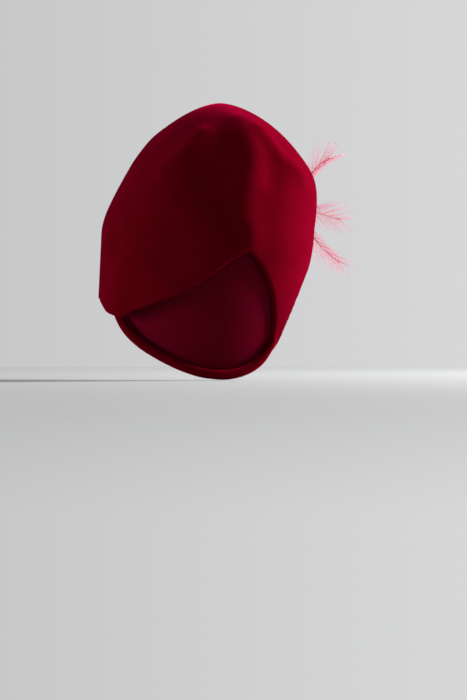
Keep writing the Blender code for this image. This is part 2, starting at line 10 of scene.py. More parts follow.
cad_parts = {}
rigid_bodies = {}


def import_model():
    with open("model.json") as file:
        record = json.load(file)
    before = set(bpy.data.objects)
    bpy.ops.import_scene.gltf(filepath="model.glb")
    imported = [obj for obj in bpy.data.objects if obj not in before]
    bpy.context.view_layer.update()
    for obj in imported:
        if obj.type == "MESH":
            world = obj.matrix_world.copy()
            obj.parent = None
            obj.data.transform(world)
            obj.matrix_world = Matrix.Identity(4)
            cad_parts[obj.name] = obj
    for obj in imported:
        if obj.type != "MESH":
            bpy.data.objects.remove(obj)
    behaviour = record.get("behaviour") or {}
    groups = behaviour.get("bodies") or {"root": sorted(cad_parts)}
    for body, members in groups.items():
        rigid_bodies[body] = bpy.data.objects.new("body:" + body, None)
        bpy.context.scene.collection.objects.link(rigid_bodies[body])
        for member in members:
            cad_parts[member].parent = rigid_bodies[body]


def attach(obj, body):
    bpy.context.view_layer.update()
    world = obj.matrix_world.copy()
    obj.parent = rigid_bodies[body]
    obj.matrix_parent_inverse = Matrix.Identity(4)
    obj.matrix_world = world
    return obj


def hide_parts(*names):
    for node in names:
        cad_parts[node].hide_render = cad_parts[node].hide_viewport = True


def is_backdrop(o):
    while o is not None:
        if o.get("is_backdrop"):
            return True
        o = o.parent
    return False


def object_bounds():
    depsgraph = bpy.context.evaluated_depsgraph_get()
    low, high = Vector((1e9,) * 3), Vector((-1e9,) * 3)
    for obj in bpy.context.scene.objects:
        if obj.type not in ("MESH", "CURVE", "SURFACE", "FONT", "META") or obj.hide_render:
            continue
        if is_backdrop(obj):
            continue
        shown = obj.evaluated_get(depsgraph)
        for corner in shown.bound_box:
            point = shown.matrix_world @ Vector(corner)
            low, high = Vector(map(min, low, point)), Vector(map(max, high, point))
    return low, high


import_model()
cad_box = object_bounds()
scene = bpy.context.scene

# ---- the crown's surface, as the CAD part draws it ---------------------------------------------
PEAK_Z, WIDEST_Z, HALF_WIDTH = 0.148, 0.048, 0.0795
PEAK_POWER, WALL_UNIT = 1.24, 0.140
AXIS_XY = np.array([0.0046, 0.0200])
PEAK_LEAN = np.array([-0.0067, -0.0074])
LEAN_TOP_Z, RIM_Z = 0.100, -0.060
WALL_TAPER, LEFT_FLARE = 0.25, 0.0025
FELT = 0.0030
PANEL_RADIUS, PANEL_DRAW_IN, PANEL_BEND_Z, PANEL_FELT = 0.0700, 0.0143, 0.020, 0.0020
BUCKRAM, GAP = 0.0008, 0.0004
LINING, LINING_EASE, LINING_TIP_DROP, LINING_SEAM = 0.0006, 0.0012, 0.44, 0.006
LINING_FRONT_Z, LINING_BACK_Z = 0.0700, 0.0640
RIBBON, RIBBON_WIDTH, RIBBON_SET_IN, RIBBON_SEAM_IN = 0.0006, 0.015, 0.0035, 0.0022
RIM_ROLL_RADIUS = 0.0037
FOLD_IN = 1.6                        # degrees from the wrap's edge to the middle of its turned edge

FLAP_EDGE = [(53, 0.0333), (47, 0.0295), (40, 0.0235), (33, 0.0162), (24.1, 0.0084),
             (16, 0.0033), (6.5, -0.0018), (-5, -0.0065), (-15.1, -0.0105), (-22.5, -0.0136),
             (-34, -0.0105), (-44, -0.0035), (-52, 0.0008)]
FAR_EDGE = [(-62, 0.0040), (-90, 0.0160), (-120, 0.0380), (-150, 0.0530), (-180, 0.0580),
            (-210, 0.0560), (-232, 0.0490)]
FRONT_EDGE = [(-243, 0.0360), (-250, 0.0250), (-255.3, 0.0177), (-262.8, 0.0047),
              (-268.9, -0.0095), (-273.5, -0.0208), (-277.7, -0.0320)]
BAND_END = [(-282.8, -0.0392), (-286.3, -0.0384)]
WRAP_EDGE = [(-285.2, -0.0355), (-284.0, -0.0292), (-283.9, -0.0194), (-285.8, -0.0083),
             (-288.3, 0.0013), (-291.4, 0.0096), (-295.4, 0.0178), (-300.7, 0.0266),
             (-304.1, 0.0307)]
RIM_LINE = [(77.7, -0.0304, 0.0668), (72.9, -0.0389, 0.0652), (65.3, -0.0473, 0.0632),
            (55.3, -0.0530, 0.0617), (42.8, -0.0556, 0.0611), (27.9, -0.0542, 0.0614),
            (15.5, -0.0502, 0.0624), (4.2, -0.0448, 0.0638), (-5, -0.0395, 0.0655),
            (-16.4, -0.0321, 0.0675), (-27.5, -0.0221, 0.0700), (-35.8, -0.0100, 0.0718),
            (-40.5, 0.0030, 0.0730), (-43, 0.0150, 0.0738)]
PANEL_EDGE = [(-42, 0.0040), (-43, -0.0110), (-34.8, -0.0220), (-21, -0.0321), (-8.1, -0.0395),
              (2.1, -0.0449), (14.4, -0.0502), (27.7, -0.0543), (43.7, -0.0556), (57.3, -0.0531),
              (68.4, -0.0474), (76.8, -0.0389), (81.8, -0.0290), (84.5, -0.0180), (86, -0.0050),
              (86, 0.0120), (80, 0.0350), (60, 0.0500), (20, 0.0520), (-20, 0.0500),
              (-40, 0.0420), (-44, 0.0220)]

# Soft modelling of the crown: places it passes, height above the plain surface, half width.
RELIEF = {
    "centre ridge": ([(56, 0.131), (53, 0.112), (51.5, 0.093), (48, 0.072), (49, 0.056),
                      (52, 0.041)], 0.0028, 0.0115),
    "left ridge": ([(15, 0.121), (10, 0.113), (4.5, 0.1036), (-5.6, 0.0935)], 0.0026, 0.0080),
    "right ridge": ([(70, 0.124), (70.3, 0.1175), (74, 0.1037), (89, 0.091)], 0.0030, 0.0080),
    "left hollow": ([(32, 0.108), (24, 0.085)], -0.0036, 0.0170),
    "right hollow": ([(63, 0.088)], -0.0022, 0.0120),
    "flap hollow": ([(15, 0.040)], -0.0026, 0.0240),
    "tip dimple": ([(45, 0.045)], -0.0030, 0.0090),
    "left shoulder": ([(-50, 0.100), (-72, 0.090)], 0.0017, 0.0220),
    "right shoulder": ([(118, 0.085), (122, 0.066)], 0.0014, 0.0180),
    "front hollow": ([(-150, 0.098)], -0.0030, 0.0260),
    "side ridge": ([(-70, 0.120), (-95, 0.085)], 0.0020, 0.0140),
}


def smooth(value, low, high):
    share = np.clip((np.asarray(value, float) - low) / (high - low), 0, 1)
    return share * share * (3 - 2 * share)


def level(drop):
    """Half width and height of the plain crown at a drop from the peak."""
    angle = np.minimum(drop, 1) * math.pi / 2
    width = HALF_WIDTH * np.sin(angle) ** PEAK_POWER
    height = WIDEST_Z + (PEAK_Z - WIDEST_Z) * np.cos(angle)
    return width, np.where(drop > 1, WIDEST_Z - (drop - 1) * WALL_UNIT, height)


def drop_at(height):
    height = np.asarray(height, float)
    share = np.clip((height - WIDEST_Z) / (PEAK_Z - WIDEST_Z), 0, 1)
    return np.where(height < WIDEST_Z, 1 + (WIDEST_Z - height) / WALL_UNIT,
                    np.arccos(share) / (math.pi / 2))


def outwards(turn):
    angle = np.radians(turn)
    return np.stack([-np.sin(angle), np.cos(angle)], -1)


def wrapped(turn):
    return (np.asarray(turn, float) + 180) % 360 - 180


def at_radius(turn, height, radius):
    height = np.asarray(height, float)
    lean = smooth(height, WIDEST_Z, LEAN_TOP_Z)[..., None] * PEAK_LEAN
    spot = AXIS_XY + lean + outwards(turn) * np.asarray(radius, float)[..., None]
    return np.concatenate([spot, np.broadcast_to(height, spot.shape[:-1])[..., None]], -1)


def plain_crown(turn, drop):
    radius, height = level(drop)
    fall = np.clip((WIDEST_Z - height) / (WIDEST_Z - RIM_Z), 0, None)
    side = wrapped(turn)
    drawn = smooth(side, 40, 65) * WALL_TAPER * fall ** 1.5
    flared = smooth(side, -110, -80) * (1 - smooth(side, -30, 0)) * LEFT_FLARE * np.minimum(1, 2 * fall)
    return at_radius(turn, height, radius * (1 - drawn) + flared)


def panel_radius(height):
    fall = np.clip((PANEL_BEND_Z - height) / (PANEL_BEND_Z - RIM_Z), 0, None)
    return PANEL_RADIUS - PANEL_DRAW_IN * fall ** 1.5


def plain_panel(turn, drop):
    height = level(drop)[1]
    return at_radius(turn, height, panel_radius(height))


def normal_of(surface, turn, drop):
    around = surface(turn + 0.5, drop) - surface(turn - 0.5, drop)
    down = surface(turn, drop + 0.004) - surface(turn, np.maximum(drop - 0.004, 0))
    normal = -np.cross(around, down)
    size = np.linalg.norm(normal, axis=-1, keepdims=True)
    normal = normal / np.maximum(size, 1e-12)
    return np.where(np.asarray(drop)[..., None] < 0.01, np.array([0.0, 0.0, 1.0]), normal)


def relief_lines():
    lines = []
    for line, height, half_width in RELIEF.values():
        turns, heights = np.array(line, float).T
        spots = plain_crown(turns, drop_at(heights))
        dense = [spots[0]]
        for start, end in zip(spots, spots[1:]):
            steps = max(1, round(float(np.linalg.norm(end - start)) / 0.003))
            dense += [start + (end - start) * (i + 1) / steps for i in range(steps)]
        lines.append((np.array(dense), height, half_width))
    return lines


RELIEF_LINES = relief_lines()


def relief(places):
    total = np.zeros(len(places))
    for line, height, half_width in RELIEF_LINES:
        nearest = np.min(np.linalg.norm(places[:, None] - line[None], axis=2), axis=1)
        total += height * np.exp(-(nearest / half_width) ** 2)
    return total


def crown(turn, drop, depth=0.0):
    place = plain_crown(turn, drop)
    return place + normal_of(plain_crown, turn, drop) * (relief(place) - depth)[:, None]


def panel(turn, drop, depth=0.0):
    return plain_panel(turn, drop) - normal_of(plain_panel, turn, drop) * np.reshape(depth, (-1, 1))


def inside(turn, drop, depth=0.0):
    """Places a depth within the hat's inside face: the buckram behind the panel, else the felt."""
    felt_side = crown(turn, drop, FELT + depth)
    side = wrapped(turn)
    behind = smooth(side, -58, -45) * (1 - smooth(side, 86, 100))
    behind = behind * (1 - smooth(level(drop)[1], 0.052, 0.064))
    panel_side = panel(turn, drop, PANEL_FELT + GAP + BUCKRAM + depth)
    return felt_side + (panel_side - felt_side) * behind[:, None]


# ---- meshes on the crown's map -----------------------------------------------------------------
def on_map(turn, drop):
    return outwards(turn) * np.asarray(drop, float)[..., None]


def off_map(spots):
    return np.degrees(np.arctan2(-spots[:, 0], spots[:, 1])), np.hypot(spots[:, 0], spots[:, 1])


def curve_through(points, per_span, closed=False):
    """Catmull-Rom curve through points of any dimension."""
    points = np.array(points, float)
    if closed:
        padded = np.concatenate([points[-1:], points, points[:2]])
    else:
        padded = np.concatenate([points[:1], points, points[-1:]])
    result = []
    for i in range(len(padded) - 3):
        before, start, end, after = padded[i:i + 4]
        for step in range(per_span):
            t = step / per_span
            result.append(0.5 * (2 * start + (end - before) * t
                                 + (2 * before - 5 * start + 4 * end - after) * t ** 2
                                 + (3 * start - before - 3 * end + after) * t ** 3))
    if not closed:
        result.append(points[-1])
    return np.array(result)


def even_spacing(places, spacing, closed=True):
    """Positions along a line, as index plus share, that split it evenly."""
    ends = np.roll(places, -1, axis=0) if closed else places[1:]
    lengths = np.linalg.norm(ends - places[:len(ends)], axis=1)
    total = np.concatenate([[0], np.cumsum(lengths)])
    count = max(8, round(total[-1] / spacing))
    return np.interp(np.linspace(0, total[-1], count, endpoint=not closed), total,
                     np.arange(len(total)))


def spaced(loop, spacing):
    steps = even_spacing(plain_crown(*off_map(loop)), spacing)
    closed = np.concatenate([loop, loop[:1]])
    index = np.minimum(steps.astype(int), len(loop) - 1)
    share = (steps - index)[:, None]
    return closed[index] * (1 - share) + closed[index + 1] * share


def inside_loop(spots, loop):
    hit = np.zeros(len(spots), bool)
    for start, end in zip(loop, np.roll(loop, -1, axis=0)):
        spans = (start[1] > spots[:, 1]) != (end[1] > spots[:, 1])
        rise = end[1] - start[1]
        if rise:
            cross = start[0] + (spots[:, 1] - start[1]) / rise * (end[0] - start[0])
            hit ^= spans & (cross > spots[:, 0])
    return hit


def fill(loops, spacing):
    """Triangles over the map area inside the first loop and outside the others."""
    loops = [spaced(loop, spacing) for loop in loops]
    edges, start = [], 0
    for loop in loops:
        edges += [(start + i, start + (i + 1) % len(loop)) for i in range(len(loop))]
        start += len(loop)
    rim_spots = np.concatenate(loops)
    tree = kdtree.KDTree(len(rim_spots))
    for i, place in enumerate(plain_crown(*off_map(rim_spots))):
        tree.insert(place, i)
    tree.balance()

    def wanted(spots):
        keep = inside_loop(spots, loops[0])
        for hole in loops[1:]:
            keep &= ~inside_loop(spots, hole)
        return keep

    far_drop = np.hypot(*rim_spots.T).max()
    rings = math.ceil(far_drop * WALL_UNIT / spacing)
    candidates = [np.zeros((1, 2))]
    for ring in range(1, rings):
        drop = far_drop * ring / rings
        around = max(6, round(2 * math.pi * float(level(drop)[0]) / spacing))
        turns = 360 * (np.arange(around) + 0.5 * (ring % 2)) / around
        candidates.append(on_map(turns, np.full(around, drop)))
    spots = np.concatenate(candidates)
    spots = spots[wanted(spots)]
    if len(spots):
        places = plain_crown(*off_map(spots))
        spots = spots[np.array([tree.find(p)[2] for p in places]) > 0.55 * spacing]
    every = [Vector(spot) for spot in np.concatenate([rim_spots, spots])]
    found = geometry.delaunay_2d_cdt(every, edges, [], 0, 1e-7)
    places = np.array([tuple(p) for p in found[0]])
    triangles = np.array([tuple(t) for t in found[2]])
    a, b, c = places[triangles[:, 0]], places[triangles[:, 1]], places[triangles[:, 2]]
    cross = (b - a)[:, 0] * (c - a)[:, 1] - (b - a)[:, 1] * (c - a)[:, 0]
    plump = np.abs(cross) > 0.01 * np.linalg.norm(b - a, axis=1) * np.linalg.norm(c - a, axis=1)
    triangles = triangles[wanted((a + b + c) / 3) & plump]
    used, flat = np.unique(triangles, return_inverse=True)
    return off_map(places[used]), flat.reshape(-1, 3)


def shell(places_out, places_in, triangles):
    """A closed shell from an outside and an inside copy of the same triangles."""
    count = len(places_out)
    faces = [tuple(t) for t in triangles] + [tuple(t[::-1] + count) for t in triangles]
    sides = {(int(t[i]), int(t[(i + 1) % 3])) for t in triangles for i in range(3)}
    faces += [(b, a, a + count, b + count) for a, b in sides if (b, a) not in sides]
    return np.concatenate([places_out, places_in]), faces


def tube(path, radii, sides, side_hint=None):
    """A closed tube of the given radii along a path."""
    path = np.asarray(path, float)
    along = np.gradient(path, axis=0)
    along /= np.linalg.norm(along, axis=1, keepdims=True)
    hint = side_hint
    if hint is None:
        hint = path * np.array([1, 1, 0]) - np.array([*AXIS_XY, 0])
    across = np.cross(along, hint)
    across /= np.maximum(np.linalg.norm(across, axis=1, keepdims=True), 1e-9)
    up = np.cross(across, along)
    angles = 2 * math.pi * np.arange(sides) / sides
    radii = np.broadcast_to(radii, len(path))
    rings = (path[:, None] + (across[:, None] * np.cos(angles)[None, :, None]
                              + up[:, None] * np.sin(angles)[None, :, None]) * radii[:, None, None])
    faces = []
    for i in range(len(path) - 1):
        for k in range(sides):
            m = (k + 1) % sides
            faces.append((i * sides + k, i * sides + m, (i + 1) * sides + m, (i + 1) * sides + k))
    faces.append(tuple(range(sides))[::-1])
    last = (len(path) - 1) * sides
    faces.append(tuple(last + k for k in range(sides)))
    return rings.reshape(-1, 3), faces


def join(parts):
    points, faces, start = [], [], 0
    for part_points, part_faces in parts:
        points.append(part_points)
        faces += [tuple(int(i) + start for i in face) for face in part_faces]
        start += len(part_points)
    return np.concatenate(points), faces


def new_piece(name, points, faces, finish=None, outward=True):
    mesh = bpy.data.meshes.new(name)
    mesh.from_pydata([tuple(p) for p in points], [], faces)
    if outward:
        work = bmesh.new()
        work.from_mesh(mesh)
        bmesh.ops.recalc_face_normals(work, faces=work.faces)
        work.to_mesh(mesh)
        work.free()
    mesh.shade_smooth()
    mesh.set_sharp_from_angle(angle=math.radians(55))
    piece = bpy.data.objects.new(name, mesh)
    scene.collection.objects.link(piece)
    if finish:
        mesh.materials.append(finish)
    return piece


def lay_map(piece, turns, drops):
    """Writes a shell's own distances around and down, in metres, as its UV map."""
    mesh = piece.data
    corners = np.zeros(len(mesh.loops), int)
    mesh.loops.foreach_get("vertex_index", corners)
    starts = np.array([face.loop_start for face in mesh.polygons])
    lengths = np.array([face.loop_total for face in mesh.polygons])
    turn = wrapped(turns)[corners % len(turns)]
    high = np.repeat(np.maximum.reduceat(turn, starts), lengths)
    turn = np.where(high - turn > 180, turn + 360, turn)
    spots = np.stack([np.radians(turn) * HALF_WIDTH, drops[corners % len(turns)] * WALL_UNIT], -1)
    layer = mesh.uv_layers.new(name="Cloth")
    layer.data.foreach_set("uv", spots.ravel())


def bake_modifiers(piece):
    bpy.context.view_layer.update()
    evaluated = piece.evaluated_get(bpy.context.evaluated_depsgraph_get())
    mesh = bpy.data.meshes.new_from_object(evaluated)
    piece.modifiers.clear()
    piece.data = mesh


def melt(piece, voxel, smoothing):
    """Melts a piece's overlapping solids into one skin and evens it."""
    remesh = piece.modifiers.new("Melt", "REMESH")
    remesh.mode = "VOXEL"
    remesh.voxel_size = voxel
    remesh.use_smooth_shade = True
    even = piece.modifiers.new("Even", "SMOOTH")
    even.factor = 0.5
    even.iterations = smoothing
    bake_modifiers(piece)
    piece.data.shade_smooth()
    return piece


# ---- materials ---------------------------------------------------------------------------------
class Finish:
    """A Principled material and short ways to add nodes to it."""

    def __init__(self, name, colour, roughness, **sockets):
        self.material = bpy.data.materials.new(name)
        self.material.use_nodes = True
        self.tree = self.material.node_tree
        self.shader = self.tree.nodes["Principled BSDF"]
        self.shader.inputs["Base Color"].default_value = (*colour, 1)
        self.shader.inputs["Roughness"].default_value = roughness
        for socket, value in sockets.items():
            self.shader.inputs[socket.replace("_", " ")].default_value = value
        self.coords = self.tree.nodes.new("ShaderNodeTexCoord").outputs["Object"]

    def node(self, kind, inputs=None, **settings):
        made = self.tree.nodes.new("ShaderNode" + kind)
        for name, value in settings.items():
            setattr(made, name, value)
        for name, value in (inputs or {}).items():
            if isinstance(value, bpy.types.NodeSocket):
                self.tree.links.new(value, made.inputs[name])
            else:
                made.inputs[name].default_value = value
        return made

    def noise(self, scale, detail=4.0, roughness=0.6, vector=None):
        found = self.node("TexNoise", {"Vector": vector or self.coords, "Scale": scale,
                                       "Detail": detail, "Roughness": roughness})
        return found.outputs["Fac"]

    def ramp(self, factor, stops):
        made = self.node("ValToRGB", {"Fac": factor})
        elements = made.color_ramp.elements
        while len(elements) < len(stops):
            elements.new(0.5)
        for element, (place, colour) in zip(elements, stops):
            element.position = place
            element.color = (*colour, 1)
        return made.outputs["Color"]

    def paint(self, colour):
        self.tree.links.new(colour, self.shader.inputs["Base Color"])

    def rough(self, factor, low, high):
        made = self.node("MapRange", {"Value": factor, "To Min": low, "To Max": high})
        self.tree.links.new(made.outputs["Result"], self.shader.inputs["Roughness"])

    def stripes(self, axis, pitch):
        """Even waves across the cloth, 0 to 1, along one axis of its UV map."""
        cloth = self.node("UVMap", uv_map="Cloth").outputs["UV"]
        spot = self.node("SeparateXYZ", {"Vector": cloth}).outputs[axis]
        wave = self.node("Math", {0: spot, 1: 2 * math.pi / pitch}, operation="MULTIPLY")
        wave = self.node("Math", {0: wave.outputs["Value"]}, operation="SINE")
        return self.node("MapRange", {"Value": wave.outputs["Value"], "From Min": -1.0,
                                      "From Max": 1.0}).outputs["Result"]

    def mix(self, share, one, other):
        made = self.node("Mix", data_type="RGBA")
        for socket, value in ((0, share), (6, one), (7, other)):
            if isinstance(value, bpy.types.NodeSocket):
                self.tree.links.new(value, made.inputs[socket])
            else:
                made.inputs[socket].default_value = value if socket == 0 else (*value, 1)
        return made.outputs[2]

    def bump(self, height, strength, distance, below=None):
        inputs = {"Height": height, "Strength": strength, "Distance": distance}
        if below:
            inputs["Normal"] = below
        made = self.node("Bump", inputs).outputs["Normal"]
        self.tree.links.new(made, self.shader.inputs["Normal"])
        return made


def velour_finish():
    """Brushed fur felt: a short soft pile that is deep red face on and brightens at a glance."""
    felt = Finish("velour", (0.12, 0.0003, 0.0045), 0.85, Sheen_Weight=0.32, Sheen_Roughness=0.42,
                  Sheen_Tint=(1.0, 0.004, 0.10, 1), Specular_IOR_Level=0.0)
    drift = felt.noise(26, 4)
    pile = felt.ramp(drift, [(0.30, (0.074, 0.0002, 0.0028)), (0.70, (0.106, 0.0003, 0.0042))])
    fibre = felt.noise(1400, 3, 0.7)
    pile = felt.mix(felt.node("MapRange", {"Value": fibre, "From Min": 0.35, "From Max": 0.75,
                                           "To Max": 0.35}).outputs["Result"],
                    pile, (0.125, 0.0004, 0.0058))
    specks = felt.node("TexVoronoi", {"Vector": felt.coords, "Scale": 62.0, "Randomness": 1.0})
    lint = felt.node("MapRange", {"Value": specks.outputs["Distance"], "From Min": 0.022,
                                  "From Max": 0.032, "To Min": 0.6, "To Max": 0.0})
    felt.paint(felt.mix(lint.outputs["Result"], pile, (0.40, 0.03, 0.05)))
    felt.rough(felt.noise(400, 2), 0.75, 0.95)
    coarse = felt.bump(felt.noise(240, 3), 0.22, 0.0006)
    felt.bump(fibre, 0.40, 0.0003, coarse)
    return felt.material


def panel_finish():
    """Plain pressed felt, matte, with short tangled fibres."""
    felt = Finish("panel_felt", (0.10, 0.0008, 0.008), 0.95, Sheen_Weight=0.12, Sheen_Roughness=0.6,
                  Sheen_Tint=(1.0, 0.01, 0.14, 1), Specular_IOR_Level=0.0)
    drift = felt.noise(60, 5, 0.7)
    cloth = felt.ramp(drift, [(0.30, (0.074, 0.0006, 0.0055)), (0.72, (0.098, 0.0010, 0.0077))])
    felt.paint(felt.mix(felt.noise(900, 3, 0.7), cloth, (0.110, 0.0011, 0.0086)))
    felt.rough(felt.noise(600, 2), 0.85, 1.0)
    felt.bump(felt.noise(900, 4, 0.7), 0.4, 0.0004)
    return felt.material


def woven_finish(name, dark, light, roughness, pitch):
    """Plain weave: warp and weft waves with uneven yarns."""
    cloth = Finish(name, light, roughness, Sheen_Weight=0.1, Specular_IOR_Level=0.2)
    warp, weft = cloth.stripes("X", pitch), cloth.stripes("Y", pitch)
    yarns = cloth.node("Math", {0: warp, 1: weft}, operation="MULTIPLY").outputs["Value"]
    slub = cloth.noise(150, 4)
    cloth.paint(cloth.mix(slub, cloth.mix(yarns, dark, light), light))
    cloth.rough(slub, roughness * 0.85, min(1.0, roughness * 1.15))
    cloth.bump(yarns, 0.5, pitch * 0.3)
    return cloth.material


def grosgrain_finish():
    """Ribbed ribbon: fine cross ribs, worn a little paler where it rubs."""
    cloth = Finish("grosgrain", (0.060, 0.002, 0.008), 0.6, Sheen_Weight=0.25,
                   Sheen_Tint=(0.8, 0.12, 0.2, 1), Specular_IOR_Level=0.15)
    ribs = cloth.stripes("X", 0.0011)
    wear = cloth.noise(70, 4)
    base = cloth.mix(ribs, (0.040, 0.0012, 0.005), (0.085, 0.003, 0.011))
    worn = cloth.node("MapRange", {"Value": wear, "From Min": 0.55, "From Max": 0.8,
                                   "To Max": 0.4}).outputs["Result"]
    cloth.paint(cloth.mix(worn, base, (0.14, 0.012, 0.022)))
    cloth.rough(wear, 0.5, 0.75)
    cloth.bump(ribs, 0.7, 0.0003)
    return cloth.material


def satin_finish():
    """Lining satin: smooth, glossy along the yarn, with fine warp lines."""
    cloth = Finish("satin", (0.16, 0.006, 0.018), 0.34, Sheen_Weight=0.15,
                   Sheen_Tint=(1.0, 0.25, 0.35, 1), Specular_IOR_Level=0.4, Anisotropic=0.5)
    warp = cloth.stripes("X", 0.0006)
    drift = cloth.noise(45, 4)
    tone = cloth.ramp(drift, [(0.3, (0.13, 0.004, 0.014)), (0.7, (0.19, 0.009, 0.024))])
    cloth.paint(cloth.mix(warp, tone, (0.21, 0.011, 0.028)))
    cloth.rough(drift, 0.28, 0.42)
    cloth.bump(warp, 0.25, 0.0001)
    return cloth.material


def thread_finish():
    """Twisted silk thread."""
    thread = Finish("thread", (0.10, 0.002, 0.008), 0.6, Sheen_Weight=0.2,
                    Sheen_Tint=(1.0, 0.2, 0.3, 1))
    tone = thread.noise(300, 3)
    thread.paint(thread.ramp(tone, [(0.3, (0.07, 0.001, 0.006)), (0.7, (0.14, 0.003, 0.012))]))
    thread.rough(tone, 0.5, 0.75)
    thread.bump(thread.noise(2600, 2), 0.6, 0.0002)
    return thread.material


def quill_finish():
    """Dyed feather shaft: horn, with random paler and darker streaks."""
    horn = Finish("quill", (0.34, 0.02, 0.05), 0.4, Specular_IOR_Level=0.4)
    streak = horn.noise(140, 4)
    horn.paint(horn.ramp(streak, [(0.3, (0.30, 0.008, 0.035)), (0.7, (0.50, 0.030, 0.075))]))
    horn.rough(streak, 0.32, 0.5)
    horn.bump(horn.noise(700, 3), 0.3, 0.0002)
    return horn.material


def plume_finish():
    """Dyed feather barbs: thin, soft and a little see-through."""
    barb = Finish("plume", (0.48, 0.018, 0.065), 0.7, Sheen_Weight=0.2,
                  Sheen_Tint=(1.0, 0.25, 0.40, 1), Subsurface_Weight=0.6,
                  Subsurface_Radius=(1.0, 0.30, 0.35), Subsurface_Scale=0.002,
                  Specular_IOR_Level=0.2)
    tone = barb.noise(120, 4)
    barb.paint(barb.ramp(tone, [(0.3, (0.36, 0.012, 0.030)), (0.7, (0.60, 0.035, 0.065))]))
    barb.rough(tone, 0.6, 0.8)
    barb.bump(barb.noise(1800, 2), 0.3, 0.0001)
    return barb.material


def comb_finish():
    """Mottled brown comb plastic, polished, dulled in patches by use."""
    shell_like = Finish("tortoiseshell", (0.09, 0.025, 0.007), 0.2, Coat_Weight=0.4)
    cloud = shell_like.noise(150, 3, 0.5)
    tone = [(0.38, (0.018, 0.006, 0.003)), (0.52, (0.10, 0.030, 0.008)),
            (0.68, (0.34, 0.14, 0.035))]
    shell_like.paint(shell_like.ramp(cloud, tone))
    shell_like.rough(shell_like.noise(500, 4), 0.14, 0.34)
    shell_like.bump(shell_like.noise(800, 2), 0.1, 0.0001)
    return shell_like.material


def wire_finish():
    """Drawn steel wire with dull spots."""
    wire = Finish("wire", (0.42, 0.42, 0.43), 0.35, Metallic=1.0)
    spots = wire.noise(600, 4)
    wire.paint(wire.ramp(spots, [(0.35, (0.30, 0.29, 0.28)), (0.65, (0.50, 0.50, 0.51))]))
    wire.rough(spots, 0.25, 0.5)
    wire.bump(wire.noise(1500, 2), 0.2, 0.0001)
    return wire.material


# ---- camera, light and stage -------------------------------------------------------------------
VIEW_TURN = math.radians(30)         # the camera stands this far round from straight behind
CAMERA_DISTANCE = 1.815
CAMERA_HEIGHT = -0.0375
AIM_ASIDE = 0.0056                   # the aim is this far to the right of the frame's axis
METRES_HIGH = 0.525                  # height that the picture takes in at the hat
BACKWARD = Vector((-math.sin(VIEW_TURN), math.cos(VIEW_TURN), 0))
RIGHTWARD = Vector((-math.cos(VIEW_TURN), -math.sin(VIEW_TURN), 0))


def aim(thing, target):
    thing.rotation_euler = (Vector(target) - thing.location).to_track_quat("-Z", "Y").to_euler()


def make_camera():
    data = bpy.data.cameras.new("camera")
    camera = bpy.data.objects.new("camera", data)
    scene.collection.objects.link(camera)
    target = RIGHTWARD * AIM_ASIDE + Vector((0, 0, CAMERA_HEIGHT))
    camera.location = target + BACKWARD * CAMERA_DISTANCE
    aim(camera, target)
    data.sensor_fit = "VERTICAL"
    data.sensor_height = 36
    data.lens = data.sensor_height * (CAMERA_DISTANCE - 0.015) / METRES_HIGH
    data.clip_end = 50
    scene.camera = camera


def area_light(name, right, back, up, size, watts, colour=(1, 1, 1)):
    data = bpy.data.lights.new(name, "AREA")
    data.size = size
    data.energy = watts
    data.color = colour
    light = bpy.data.objects.new(name, data)
    light.location = RIGHTWARD * right + BACKWARD * back + Vector((0, 0, up))
    scene.collection.objects.link(light)
    aim(light, (0, 0.01, 0.05))


def make_light():
    scene.view_settings.view_transform = "Standard"
    area_light("key", 1.80, -0.55, 0.80, 1.1, 142)
    area_light("fill", -1.9, 0.25, 0.15, 0.9, 28)
    world = bpy.data.worlds.new("studio")
    scene.world = world
    world.use_nodes = True
    tree = world.node_tree
    back = tree.nodes["Background"]
    coords = tree.nodes.new("ShaderNodeTexCoord").outputs["Generated"]

    def part_along(direction):
        made = tree.nodes.new("ShaderNodeVectorMath")
        made.operation = "DOT_PRODUCT"
        made.inputs[1].default_value = direction
        tree.links.new(coords, made.inputs[0])
        return made.outputs["Value"]

    # Brighter to the right of the backdrop, dimmer behind the camera and overhead.
    strength = None
    for direction, start, end, first, last in ((RIGHTWARD, -0.14, 0.14, 0.56, 0.71),
                                               (BACKWARD, -0.4, 0.8, 1.0, 0.45),
                                               ((0, 0, 1), 0.20, 0.65, 1.0, 0.15)):
        share = tree.nodes.new("ShaderNodeMapRange")
        for socket, value in (("From Min", start), ("From Max", end), ("To Min", first),
                              ("To Max", last)):
            share.inputs[socket].default_value = value
        tree.links.new(part_along(direction), share.inputs["Value"])
        if strength is None:
            strength = share.outputs["Result"]
            continue
        both = tree.nodes.new("ShaderNodeMath")
        both.operation = "MULTIPLY"
        tree.links.new(strength, both.inputs[0])
        tree.links.new(share.outputs["Result"], both.inputs[1])
        strength = both.outputs["Value"]
    tree.links.new(strength, back.inputs["Strength"])
    back.inputs["Color"].default_value = (0.985, 0.99, 1.0, 1)


def floor_finish(radius):
    """Pale floor, clear towards its edge and clear from below."""
    plain = Finish("floor", (0.39, 0.393, 0.397), 0.9)
    far = plain.node("VectorMath", {0: plain.coords}, operation="LENGTH").outputs["Value"]
    solid = plain.node("MapRange", {"Value": far, "From Min": radius * 0.25, "From Max": radius,
                                    "To Min": 1.0, "To Max": 0.0}).outputs["Result"]
    below = plain.node("NewGeometry").outputs["Backfacing"]
    seen = plain.node("MapRange", {"Value": below, "To Min": 1.0, "To Max": 0.0}).outputs["Result"]
    both = plain.node("Math", {0: solid, 1: seen}, operation="MULTIPLY").outputs["Value"]
    plain.tree.links.new(both, plain.shader.inputs["Alpha"])
    speckle = plain.noise(900, 2)
    plain.rough(speckle, 0.85, 0.95)
    return plain.material


